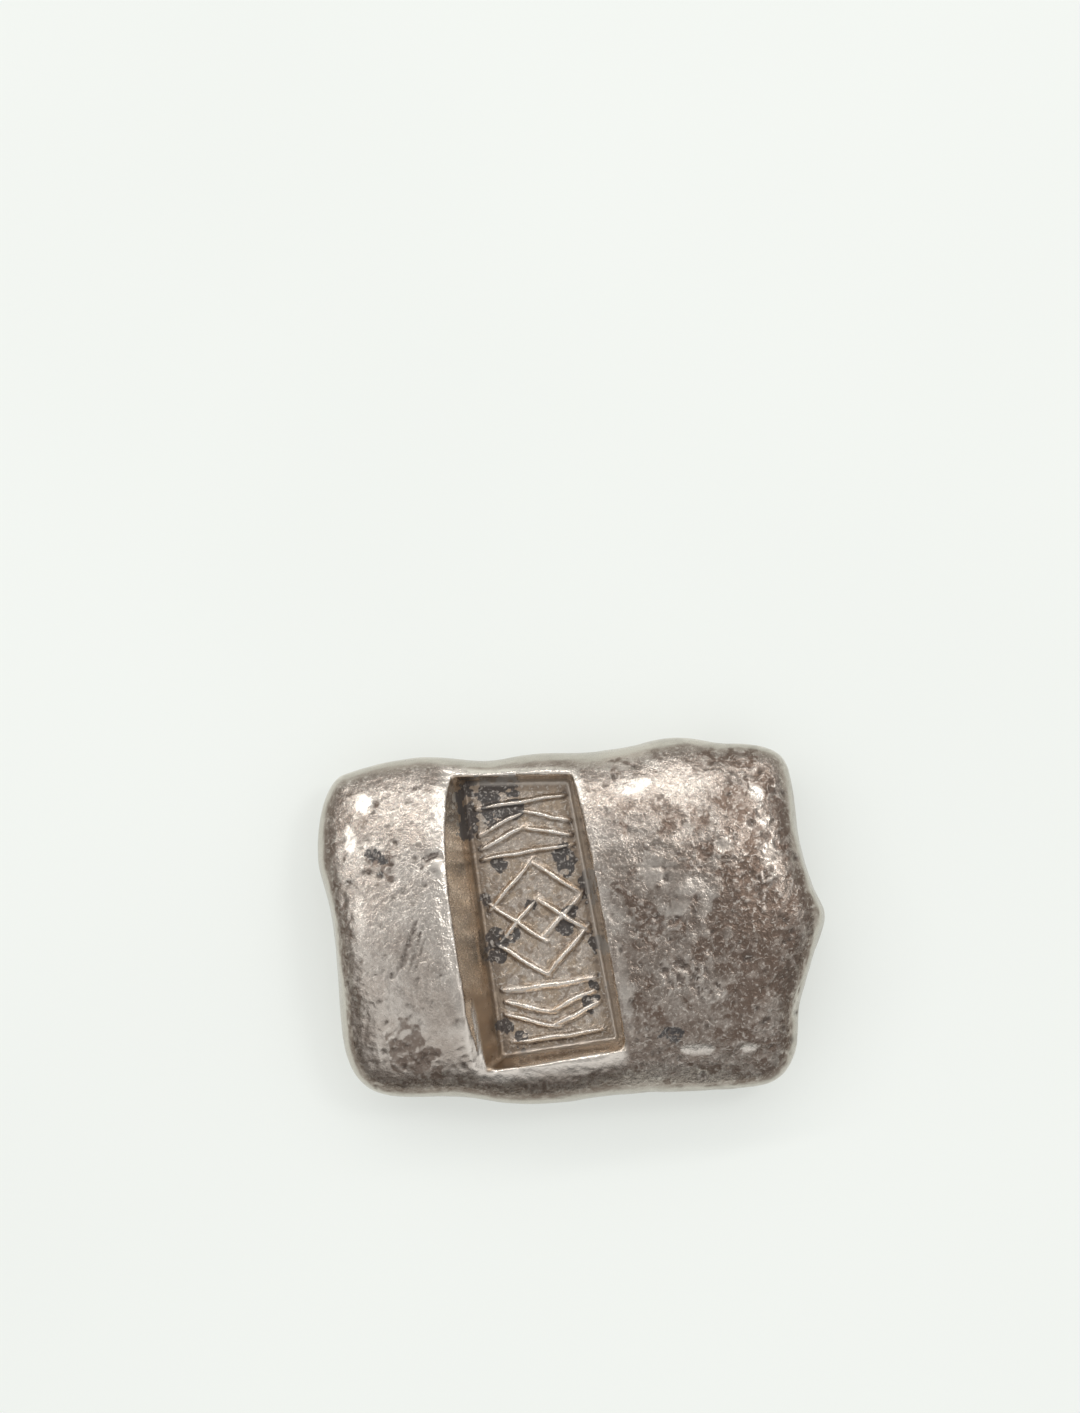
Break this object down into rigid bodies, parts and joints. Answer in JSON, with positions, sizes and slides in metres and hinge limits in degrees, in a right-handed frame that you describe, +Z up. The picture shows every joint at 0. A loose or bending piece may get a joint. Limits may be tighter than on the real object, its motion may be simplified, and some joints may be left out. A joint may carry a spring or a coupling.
{
  "type": "silver sycee ingot",
  "caption": "Small cast silver ingot of pillow form, with a deep struck trough across its crowned face and a raised geometric figure on the trough's floor.",
  "frame": {"origin": "on the flat resting face, under the middle of the bounding box", "axes": "+X along the ingot's longest side, +Y across it towards the trough's far end, +Z up out of the struck face"},
  "size_m": [0.0304, 0.0216, 0.0069],
  "materials": {
    "silver": "aged cast silver, worn bright on the high places and toned brown in the trough"
  },
  "bodies": {
    "root": {"ingot": "silver"}
  },
  "joints": []
}
